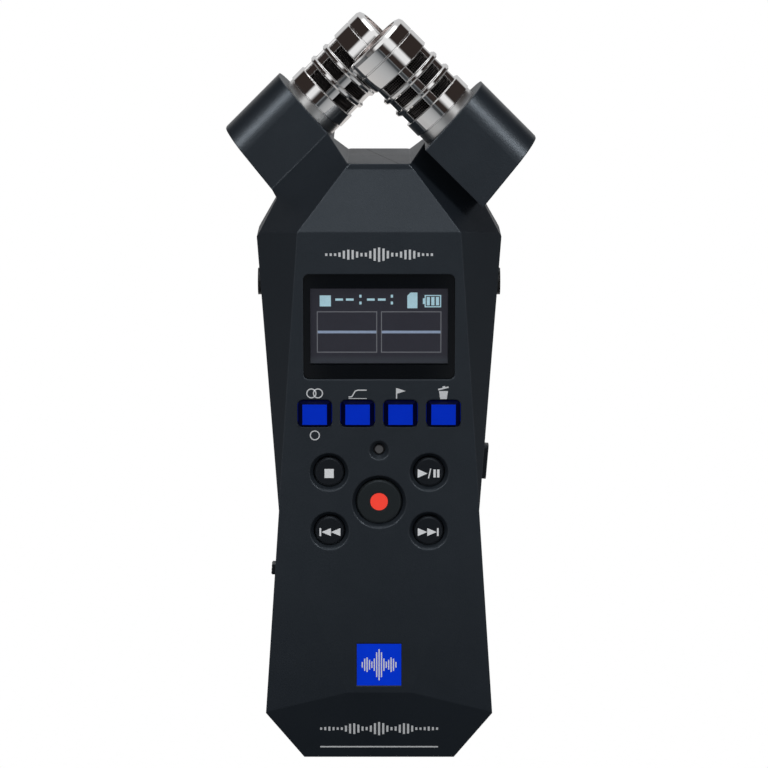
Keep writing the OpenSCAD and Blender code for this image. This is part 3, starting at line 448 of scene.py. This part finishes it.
FINISH = {
    shell_plastic: ("front_shell", "rear_shell", "battery_cover", "card_door"),
    cap_plastic: ("stop_button", "play_button", "rewind_button", "forward_button",
                  "volume_rocker", "power_slider"),
    record_cap_plastic: ("record_button",),
    inner_plastic: ("battery_tray",),
    light_guide_plastic: ("lcd_frame",),
    key_plastic: FUNCTION_KEYS,
    badge_inlay: ("badge_plate",),
    socket_plastic: ("mic_jack", "phone_jack"),
    chip_epoxy: ("processor_chip", "converter_chip", "volume_switches", "memory_card"),
    flex_film: ("lcd_flex",),
    record_lens: ("record_dot",),
    lamp_lens: ("status_lamp",),
    plated_steel: ("tact_switches", "power_switch", "usb_port", "card_socket", "door_pin",
                   "battery_springs", "battery_contacts"),
    screw_black: ("case_screws", "board_screws"),
    basket_paint: ("speaker",),
    insert_brass: ("tripod_insert",),
}
SOFT_EDGES = {"card_door": 0.18, "volume_rocker": 0.25, "power_slider": 0.2, "mode_key": 0.16,
              "filter_key": 0.16, "marker_key": 0.16, "delete_key": 0.16}
PER_SIDE = {"mic_grille": chrome, "mic_mesh": mesh_backing, "mic_base": silver_ring,
            "mic_capsule": capsule_can, "mic_cable": cable_rubber}


def paint(node, material):
    slots = nodes[node].material_slots
    if not slots:
        nodes[node].data.materials.append(material)
    for slot in slots:
        slot.material = material


def finish_cad_nodes():
    for material, group in FINISH.items():
        for node in group:
            paint(node, material)
    for side in SIDES:
        for part, material in PER_SIDE.items():
            paint(f"{side}_{part}", material)
    paint("main_board", solder_mask())
    paint("speaker_cloth", woven_cloth())
    paint("lcd_module", display_panel())
    paint("display_window", display_glass(screen_low, screen_high))
    for node in ("battery_left", "battery_right"):
        paint(node, cell_sleeve(node))
    for node, width_mm in SOFT_EDGES.items():
        soften(node, width_mm)


# ---------------------------------------------------------------- flat shapes in x and z, in mm

def bar(x, z, w, h):
    """A rectangle centred at x, z."""
    left, right = x - w / 2, x + w / 2
    low, high = z - h / 2, z + h / 2
    return [[(left, low), (right, low), (right, high), (left, high)]]


def frame_box(x, z, w, h, line):
    """The outline of a rectangle, drawn with a line of the given width."""
    up, aside, upright = (h - line) / 2, (w - line) / 2, h - 2 * line
    level = bar(x, z + up, w, line) + bar(x, z - up, w, line)
    return level + bar(x - aside, z, line, upright) + bar(x + aside, z, line, upright)


def disc(x, z, r, count=24):
    turn = [2 * math.pi * i / count for i in range(count)]
    return [[(x + r * math.cos(a), z + r * math.sin(a)) for a in turn]]


def ring(x, z, r, line, count=36):
    """A ring made of short pieces."""
    inner, outer = r - line / 2, r + line / 2
    shapes = []
    for i in range(count):
        a, b = 2 * math.pi * i / count, 2 * math.pi * (i + 1) / count
        corners = ((inner, a), (outer, a), (outer, b), (inner, b))
        shapes.append([(x + q * math.cos(t), z + q * math.sin(t)) for q, t in corners])
    return shapes


def stroke(points, line):
    """A bent line through points."""
    shapes = []
    for (x0, z0), (x1, z1) in zip(points, points[1:]):
        length = math.hypot(x1 - x0, z1 - z0)
        nx = -(z1 - z0) / length * line / 2
        nz = (x1 - x0) / length * line / 2
        shapes.append([(x0 + nx, z0 + nz), (x0 - nx, z0 - nz), (x1 - nx, z1 - nz), (x1 + nx, z1 + nz)])
    return shapes


def arrow(x, z, w, h, direction=1):
    """A filled triangle that points right (1) or left (-1)."""
    tip, foot = x + direction * w / 2, x - direction * w / 2
    return [[(foot, z - h / 2), (tip, z), (foot, z + h / 2)][::direction]]


def emboss(name, shapes, surface_y, body, material, proud=0.03, sunk=0.02, out=-1):
    """Raises flat shapes from a face that looks along -Y (out = -1) or +Y (out = 1). Each stands
    proud mm over the face and reaches sunk mm into it."""
    mesh = bmesh.new()
    front, back = surface_y + out * proud * MM, surface_y - out * sunk * MM
    for shape in shapes:
        near = [mesh.verts.new((x * MM, front, z * MM)) for x, z in shape]
        far = [mesh.verts.new((x * MM, back, z * MM)) for x, z in shape]
        mesh.faces.new(near)
        mesh.faces.new(far[::-1])
        for i in range(len(shape)):
            j = (i + 1) % len(shape)
            mesh.faces.new((near[j], near[i], far[i], far[j]))
    bmesh.ops.recalc_face_normals(mesh, faces=mesh.faces)
    return add_piece(name, mesh, body, material)


def add_piece(name, mesh, body, material):
    data = bpy.data.meshes.new(name)
    mesh.to_mesh(data)
    mesh.free()
    piece = bpy.data.objects.new(name, data)
    bpy.context.scene.collection.objects.link(piece)
    data.materials.append(material)
    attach(piece, body)
    return piece


def in_mm(v):
    return v.x / MM, v.z / MM


# ---------------------------------------------------------------- symbols on the buttons

SYMBOL_DROP = 0.28          # mm below the middle of the cap


def top_of(node):
    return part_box(node)[0].y


def cap_symbol(name, node, shapes):
    """Raises a button's symbol, drawn around 0, 0, on the button's cap."""
    x, z = in_mm(middle(node))
    placed = [[(x + dx, z - SYMBOL_DROP + dz) for dx, dz in shape] for shape in shapes]
    emboss(name, placed, top_of(node), node, symbol_ink)


def skip_shapes(way):
    """Two arrowheads against a bar, to the right (1) or to the left (-1)."""
    heads = arrow(-way * 1.15, 0, 1.8, 1.55, way) + arrow(way * 0.65, 0, 1.8, 1.55, way)
    return heads + bar(way * 1.76, 0, 0.32, 1.55)


def button_symbols():
    pause = bar(1.05, 0, 0.45, 1.55) + bar(1.75, 0, 0.45, 1.55)
    play_pause = arrow(-1.22, 0, 1.85, 1.7) + stroke([(-0.1, -0.95), (0.32, 0.95)], 0.22) + pause
    cap_symbol("stop_symbol", "stop_button", bar(0, 0, 1.75, 1.75))
    cap_symbol("play_pause_symbol", "play_button", play_pause)
    cap_symbol("rewind_symbol", "rewind_button", skip_shapes(-1))
    cap_symbol("forward_symbol", "forward_button", skip_shapes(1))


# ---------------------------------------------------------------- printing on the control face

def key_legends():
    """Icons beside the function keys: two circles for stereo, a low-cut curve, a flag and a bin above
    them, and one circle for mono below the first."""
    line = 0.22
    centres = {key: in_mm(middle(key))[0] for key in FUNCTION_KEYS}
    low, high = (corner.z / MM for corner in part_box("mode_key"))
    z = high + 0.65

    x = centres["mode_key"]
    shapes = ring(x - 0.62, z, 0.85, line) + ring(x + 0.62, z, 0.85, line)
    x = centres["filter_key"]
    curve = ((-1.7, -0.7), (-1.1, -0.65), (-0.45, 0.45), (0.05, 0.62), (1.7, 0.62))
    shapes += stroke([(x + dx, z + dz) for dx, dz in curve], line)
    shapes += stroke([(x - 1.7, z - 0.98), (x + 1.7, z - 0.98)], 0.13)
    x = centres["marker_key"]
    shapes += bar(x - 0.75, z, line, 2.0)
    shapes += [[(x - 0.64, z - 0.05), (x + 0.95, z + 0.45), (x - 0.64, z + 1.0)]]
    x = centres["delete_key"]
    shapes += [[(x - 0.62, z - 1.1), (x + 0.62, z - 1.1), (x + 0.85, z + 0.45), (x - 0.85, z + 0.45)]]
    shapes += stroke([(x - 1.0, z + 0.72), (x + 0.95, z + 1.22)], 0.3)
    shapes += stroke([(x - 0.2, z + 1.15), (x + 0.3, z + 1.28)], 0.3)
    shapes += ring(centres["mode_key"], low - 1.05, 0.85, line)
    emboss("key_legends", shapes, FACE_Y, "case", legend_ink, 0.012)


def level_bars(x, z, heights, width, pitch):
    """A row of upright bars, like a sound's level over time."""
    first = x - pitch * (len(heights) - 1) / 2
    shapes = []
    for i, h in enumerate(heights):
        shapes += bar(first + i * pitch, z, width, h)
    return shapes


def sound_envelope(count, tallest, beats):
    """Heights of a symmetric burst of sound."""
    heights = []
    for i in range(count):
        t = (i + 0.5) / count
        swell = math.sin(math.pi * t) ** 0.8
        ripple = 0.62 + 0.38 * math.cos(2 * math.pi * beats * (t - 0.5))
        heights.append(max(0.18, swell * ripple) * tallest)
    return heights


def printed_marks():
    """Generic level bars where the face and the badge carry a mark."""
    face_mark = level_bars(0, 99.4, sound_envelope(25, 2.7, 3.5), 0.42, 0.82)
    emboss("face_mark", face_mark, FACE_Y, "case", legend_ink, 0.012)
    x, z = in_mm(middle("badge_plate"))
    badge_mark = level_bars(x, z, sound_envelope(15, 6.2, 2.5), 0.24, 0.46)
    emboss("badge_mark", badge_mark, FACE_Y, "case", badge_ink, 0.012)
    chin_mark()
    x, z = in_mm(middle("status_lamp"))
    emboss("lamp_dot", disc(x, z, 0.75), top_of("status_lamp"), "case", lamp_dot, 0.03)


CHIN_TOP_Z = 14.16          # mm, where the slope meets the face
SADDLE_Z = 116.0            # mm, the floor between the arms


def chin_mark():
    """Level bars over a thin line, on the slope below the badge."""
    foot = [v.co for v in nodes["front_shell"].data.vertices if v.co.z < 0.01 * MM]
    foot_y = min(v.y for v in foot)
    lean = math.atan2((foot_y - FACE_Y) / MM, CHIN_TOP_Z)
    bars_z = CHIN_TOP_Z - 7.9 / math.cos(lean)
    line_z = CHIN_TOP_Z - 11.9 / math.cos(lean)
    shapes = level_bars(0, bars_z, sound_envelope(29, 3.0, 4.5), 0.4, 0.8)
    shapes += bar(0, line_z, 22.8, 0.3)
    piece = emboss("chin_mark", shapes, 0.0, "case", legend_ink, 0.012)
    turn = Matrix.Rotation(lean, 4, "X")
    crease = Vector((0, 0, CHIN_TOP_Z * MM))
    for v in piece.data.vertices:
        v.co = turn @ (v.co - crease) + crease + Vector((0, FACE_Y, 0))


def saddle_seam():
    """The parting line that runs slantwise across the floor between the microphone arms."""
    half_depth, half_w = 10.7 * MM, 0.07 * MM
    back = Vector((-2.7 * MM, half_depth, SADDLE_Z * MM))
    front = Vector((3.7 * MM, -half_depth, SADDLE_Z * MM))
    side = (front - back).cross(Vector((0, 0, 1))).normalized() * half_w
    corners = (back - side, back + side, front + side, front - side)
    mesh = bmesh.new()
    upper = [mesh.verts.new(p + Vector((0, 0, 0.012 * MM))) for p in corners]
    under = [mesh.verts.new(p - Vector((0, 0, 0.02 * MM))) for p in corners]
    mesh.faces.new(upper)
    mesh.faces.new(under[::-1])
    for i in range(4):
        j = (i + 1) % 4
        mesh.faces.new((upper[j], upper[i], under[i], under[j]))
    bmesh.ops.recalc_face_normals(mesh, faces=mesh.faces)
    add_piece("saddle_seam", mesh, "case", seam_shadow)


# ---------------------------------------------------------------- the display's picture

screen_centre = middle("lcd_module")
screen_low = screen_centre - Vector((13.0, 0, 7.5)) * MM       # what the window leaves clear
screen_high = screen_centre + Vector((13.0, 0, 7.2)) * MM


def display_picture():
    """Status icons over two boxes with a level line in each."""
    cx, cz = in_mm(screen_centre - Vector((0, 0, 0.25)) * MM)
    panel_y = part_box("lcd_module")[0].y
    box_w, box_h, box_z = 11.35, 7.9, cz - 1.2
    box_out = box_w / 2 + 0.36

    bright = bar(cx - 10.1, cz + 4.75, 2.1, 2.1)
    for x in (-7.5, -5.5, -1.55, 0.5):
        bright += bar(cx + x, cz + 5.0, 1.45, 0.42)
    for x in (-3.5, 2.4):
        bright += bar(cx + x, cz + 5.65, 0.42, 0.55) + bar(cx + x, cz + 4.35, 0.42, 0.55)
    card_x, card_z = cx + 6.25, cz + 4.85
    card = ((-0.95, -1.5), (0.95, -1.5), (0.95, 1.5), (-0.35, 1.5), (-0.95, 0.9))
    bright += [[(card_x + dx, card_z + dz) for dx, dz in card]]
    cell_x, cell_z = cx + 10.1, cz + 4.7
    bright += frame_box(cell_x, cell_z, 3.1, 2.35, 0.2) + bar(cell_x - 1.72, cell_z, 0.32, 1.1)
    for i in (-1, 0, 1):
        bright += bar(cell_x + 0.86 * i, cell_z, 0.6, 1.6)
    emboss("display_icons", bright, panel_y, "case", segment_white, 0.03)

    boxes = []
    for way in (-1, 1):
        boxes += frame_box(cx + way * box_out, box_z, box_w, box_h, 0.17)
    emboss("display_frames", boxes, panel_y, "case", segment_grey, 0.03)

    levels = []
    for way in (-1, 1):
        levels += bar(cx + way * box_out, box_z, box_w - 0.3, 0.5)
    emboss("display_levels", levels, panel_y, "case", segment_blue, 0.035)


# ---------------------------------------------------------------- microphone mesh

WEAVE_PITCH = 0.42 * MM


def microphone_weave(side):
    """Woven wire behind the slots and across the open end of a microphone."""
    low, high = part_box(f"{side}_mic_grille")
    centre = (low + high) / 2
    turn = 1 if side == "right" else -1
    along = Vector((-turn, 0, 1)).normalized()
    across = Vector((turn, 0, 1)).normalized()
    depth = Vector((0, 1, 0))
    lining = [v.co - centre for v in nodes[f"{side}_mic_mesh"].data.vertices]
    start = min(v.dot(along) for v in lining)
    end = max(v.dot(along) for v in lining)
    radius = max(v.dot(depth) for v in lining) + 0.045 * MM

    around = int(2 * math.pi * radius / WEAVE_PITCH)
    rows = int((end - start) / WEAVE_PITCH)
    sleeve = bmesh.new()
    loops = []
    for row in range(rows + 1):
        ring_centre = centre + along * (start + (end - start) * row / rows)
        loop = []
        for i in range(around):
            a = 2 * math.pi * (i + 0.5 * (row % 2)) / around
            radial = across * math.cos(a) + depth * math.sin(a)
            loop.append(sleeve.verts.new(ring_centre + radial * radius))
        loops.append(loop)
    for below, above in zip(loops, loops[1:]):
        for i in range(around):
            j = (i + 1) % around
            sleeve.faces.new((below[i], below[j], above[j], above[i]))
    wires(add_piece(f"{side}_mic_weave", sleeve, "case", shaded_mesh_wire), 0.11)

    cells = int(2 * radius / WEAVE_PITCH)
    end_centre = centre + along * (end + 0.05 * MM)
    end_disc = bmesh.new()
    points = {}
    for i in range(cells + 1):
        for j in range(cells + 1):
            u, v = (i - cells / 2) * WEAVE_PITCH, (j - cells / 2) * WEAVE_PITCH
            if math.hypot(u, v) < radius - 0.35 * MM:
                points[i, j] = end_disc.verts.new(end_centre + across * u + depth * v)
    for i, j in list(points):
        corners = [points.get(place) for place in ((i, j), (i + 1, j), (i + 1, j + 1), (i, j + 1))]
        if all(corners):
            end_disc.faces.new(corners)
    loose = [v for v in end_disc.verts if not v.link_faces]
    bmesh.ops.delete(end_disc, geom=loose, context="VERTS")
    wires(add_piece(f"{side}_mic_end_weave", end_disc, "case", end_mesh_wire), 0.1)


def wires(piece, thickness_mm):
    wire = piece.modifiers.new("wire", "WIREFRAME")
    wire.thickness = thickness_mm * MM
    wire.use_even_offset = False


# ---------------------------------------------------------------- details on the sides and the back

def thread_ridge():
    """The ridge of the tripod socket's thread, as a helix inside its bore."""
    socket = MOUNTS["tripod_socket"]
    centre = Vector(socket["pos_m"])
    bore, length = socket["dims"]["r_mm"] * MM, socket["dims"]["length_mm"] * MM
    root = bore + 0.05 * MM
    pitch, ridge_h, per_turn = 1.27 * MM, 0.3 * MM, 40
    turns = int(length / pitch - 0.6)
    steps = turns * per_turn
    start = centre.y - turns * pitch / 2
    mesh = bmesh.new()
    rings = []
    for i in range(steps + 1):
        a = 2 * math.pi * i / per_turn
        fade = min(1.0, i / 12, (steps - i) / 12)
        y = start + pitch * i / per_turn
        section = ((root, y - 0.3 * pitch), (bore - ridge_h * fade, y), (root, y + 0.3 * pitch))
        rings.append([mesh.verts.new((centre.x + r * math.cos(a), along, centre.z + r * math.sin(a)))
                      for r, along in section])
    for low, high in zip(rings, rings[1:]):
        for i in range(3):
            j = (i + 1) % 3
            mesh.faces.new((low[i], high[i], high[j], low[j]))
    mesh.faces.new(rings[0])
    mesh.faces.new(rings[-1][::-1])
    bmesh.ops.recalc_face_normals(mesh, faces=mesh.faces)
    add_piece("tripod_thread", mesh, "case", insert_brass)


def cover_arrow():
    """Raised arrow on the battery cover that shows where to push."""
    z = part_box("battery_cover")[1].z / MM - 7
    half_arrow = ((0.7, 4.0), (0.7, 0), (3.0, 0))
    right = [(x, z + dz) for x, dz in half_arrow]
    left = [(-x, z + dz) for x, dz in half_arrow]
    shapes = [right[::-1] + left + [(0, z - 2.6)]]
    emboss("cover_arrow", shapes, BACK_Y, "battery_cover", arrow_plastic, 0.18, 0.05, 1)


def cell_signs():
    """Plus and minus moulded into the battery tray's floor."""
    low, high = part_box("battery_tray")
    floor_y = low.y + 0.9 * MM
    shapes = []
    for node, up in (("battery_left", 1), ("battery_right", -1)):
        x = middle(node).x / MM
        for way, z in ((up, high.z / MM - 5), (-up, low.z / MM + 5)):
            shapes += bar(x, z, 3.0, 0.7)
            if way > 0:
                shapes += bar(x, z, 0.7, 3.0)
    emboss("cell_signs", shapes, floor_y, "case", legend_ink, 0.05, 0.03, 1)


def socket_rings():
    """Plated contact ring inside the mouth of each round socket."""
    for name in ("mic_in", "phone_out"):
        mount = MOUNTS[name]
        out = Vector(mount["axis"])
        centre = Vector(mount["pos_m"])
        length, bore = mount["dims"]["length_mm"] * MM, mount["dims"]["r_mm"] * MM
        mouth = centre + out * (length / 2 - 0.9 * MM)
        outer, inner = bore + 0.02 * MM, bore - 0.20 * MM
        profile = ((0.0, outer), (0.0, inner), (1.6 * MM, inner), (1.6 * MM, outer))
        count = 36
        mesh = bmesh.new()
        loops = []
        for i in range(count):
            a = 2 * math.pi * i / count
            radial = Vector((0, math.cos(a), math.sin(a)))
            loops.append([mesh.verts.new(mouth - out * inward + radial * r) for inward, r in profile])
        for i in range(count):
            here, after = loops[i], loops[(i + 1) % count]
            for k in range(4):
                m = (k + 1) % 4
                mesh.faces.new((here[k], after[k], after[m], here[m]))
        bmesh.ops.recalc_face_normals(mesh, faces=mesh.faces)
        add_piece(f"{name}_contact", mesh, "case", plated_steel)


# ---------------------------------------------------------------- studio

FRONT_LIGHT = 0.80                          # brightness of each zone of the surroundings
BACKDROP = 0.56
SIDE_LEFT, SIDE_RIGHT = 0.12, 0.2
OVERHEAD = 2.0
LIGHT_TINT = (0.98, 1.0, 1.02)
DARK_ROOM = (0.030, 0.023, 0.021)           # what is left between the zones


def studio_world():
    """A wall of light behind and above the camera, a pale backdrop, a bright ceiling and dim sides.
    The camera itself sees white."""
    world = bpy.data.worlds.new("studio")
    bpy.context.scene.world = world
    world.use_nodes = True
    tree = world.node_tree
    tree.nodes.clear()

    def node(kind, inputs=None, **settings):
        made = tree.nodes.new(kind)
        for key, value in settings.items():
            setattr(made, key, value)
        for key, value in (inputs or {}).items():
            if isinstance(value, bpy.types.NodeSocket):
                tree.links.new(value, made.inputs[key])
            else:
                made.inputs[key].default_value = value
        return made

    def maths(operation, a, b=0.0):
        return node("ShaderNodeMath", {0: a, 1: b}, operation=operation).outputs[0]

    def step(value, low, high):
        """0 up to low and 1 from high, with a smooth change between."""
        made = node("ShaderNodeMapRange", {"Value": value, "From Min": low, "From Max": high},
                    interpolation_type="SMOOTHSTEP")
        return made.outputs["Result"]

    axes = node("ShaderNodeSeparateXYZ", {"Vector": node("ShaderNodeTexCoord").outputs["Generated"]}).outputs
    towards_camera = maths("MULTIPLY", axes["Y"], -1.0)
    turn = maths("MULTIPLY", maths("ARCTAN2", axes["X"], towards_camera), 180 / math.pi)
    height = maths("MULTIPLY", maths("ARCSINE", axes["Z"]), 180 / math.pi)
    aside = maths("ABSOLUTE", turn)             # degrees: 0 before the recorder, 180 behind it

    front = maths("MULTIPLY", step(aside, 46, 36), step(height, 7, 17))
    behind = step(aside, 134, 145)
    sides = maths("MULTIPLY", step(aside, 36, 46), step(aside, 145, 134))
    low_sides = maths("MULTIPLY", sides, step(height, 18, 8))
    side_light = maths("MULTIPLY", step(turn, -10, 10), SIDE_RIGHT - SIDE_LEFT)
    side_light = maths("ADD", side_light, SIDE_LEFT)

    brightness = 0.0
    for zone, level in ((front, FRONT_LIGHT), (behind, BACKDROP), (low_sides, side_light),
                        (step(height, 56, 72), OVERHEAD)):
        brightness = maths("ADD", maths("MULTIPLY", zone, level), brightness)
    lit_part = node("ShaderNodeVectorMath", {0: LIGHT_TINT, "Scale": brightness}, operation="SCALE")
    total = node("ShaderNodeVectorMath", {0: lit_part.outputs["Vector"], 1: DARK_ROOM})
    light = node("ShaderNodeBackground", {"Color": total.outputs["Vector"], "Strength": 1.0})
    white = node("ShaderNodeBackground", {"Color": rgb(1.0, 1.0, 1.0), "Strength": 1.0})
    seen = node("ShaderNodeLightPath").outputs["Is Camera Ray"]
    both = node("ShaderNodeMixShader", {"Fac": seen, 1: light.outputs[0], 2: white.outputs[0]})
    out = node("ShaderNodeOutputWorld")
    tree.links.new(both.outputs[0], out.inputs["Surface"])


def studio_floor():
    bpy.ops.mesh.primitive_plane_add(size=6.0, location=(0, 0, -0.02 * MM))
    floor = bpy.context.object
    floor.name = "studio_floor"
    floor.data.materials.append(floor_paper())


BOX_HEIGHT = math.radians(21)               # the soft boxes, seen from the microphone arms
BOX_DISTANCE, BOX_SIZE = 0.9, 0.13          # m
BOX_POWER = 4.8                             # W
ARMS = Vector((0, 0, 0.12))


def soft_box(name, turn, only):
    """A square soft box, turned by some degrees from straight before the recorder, that lights
    only the pieces of one collection."""
    data = bpy.data.lights.new(name, "AREA")
    data.shape = "SQUARE"
    data.size = BOX_SIZE
    data.energy = BOX_POWER
    light = bpy.data.objects.new(name, data)
    a = math.radians(turn)
    level = math.cos(BOX_HEIGHT)
    away = Vector((math.sin(a) * level, -math.cos(a) * level, math.sin(BOX_HEIGHT)))
    light.location = ARMS + away * BOX_DISTANCE
    light.rotation_euler = (-away).to_track_quat("-Z", "Y").to_euler()
    bpy.context.scene.collection.objects.link(light)
    light.light_linking.receiver_collection = only


CAMERA_TILT = math.radians(12)              # the camera looks down by this much
CAMERA_DISTANCE = 0.600                     # m
CAMERA_TARGET = Vector((0, 0, 71.5)) * MM
CAMERA_LENS, CAMERA_SENSOR = 146.0, 36.0    # mm
CAMERA_SHIFT = (0.0064, 0.0019)             # the recorder stands a little off the picture's middle


def studio_camera():
    camera_data = bpy.data.cameras.new("camera")
    camera_data.sensor_width = CAMERA_SENSOR
    camera_data.lens = CAMERA_LENS
    camera_data.shift_x, camera_data.shift_y = CAMERA_SHIFT
    camera_data.clip_start = 0.01
    camera = bpy.data.objects.new("camera", camera_data)
    away = Vector((0, -math.cos(CAMERA_TILT), math.sin(CAMERA_TILT)))
    camera.location = CAMERA_TARGET + away * CAMERA_DISTANCE
    camera.rotation_euler = (-away).to_track_quat("-Z", "Y").to_euler()
    bpy.context.scene.collection.objects.link(camera)
    bpy.context.scene.camera = camera


def studio():
    studio_world()
    studio_floor()
    studio_camera()
    plastic = bpy.data.collections.new("plastic_pieces")
    for node in FINISH[shell_plastic]:
        plastic.objects.link(nodes[node])
    for side, turn in zip(SIDES, (-37, 37)):
        soft_box(f"{side}_box", turn, plastic)
    view = bpy.context.scene.view_settings
    view.view_transform = "Standard"
    view.look = "None"


finish_cad_nodes()
button_symbols()
key_legends()
printed_marks()
saddle_seam()
display_picture()
for side in SIDES:
    microphone_weave(side)
thread_ridge()
cover_arrow()
cell_signs()
socket_rings()
studio()
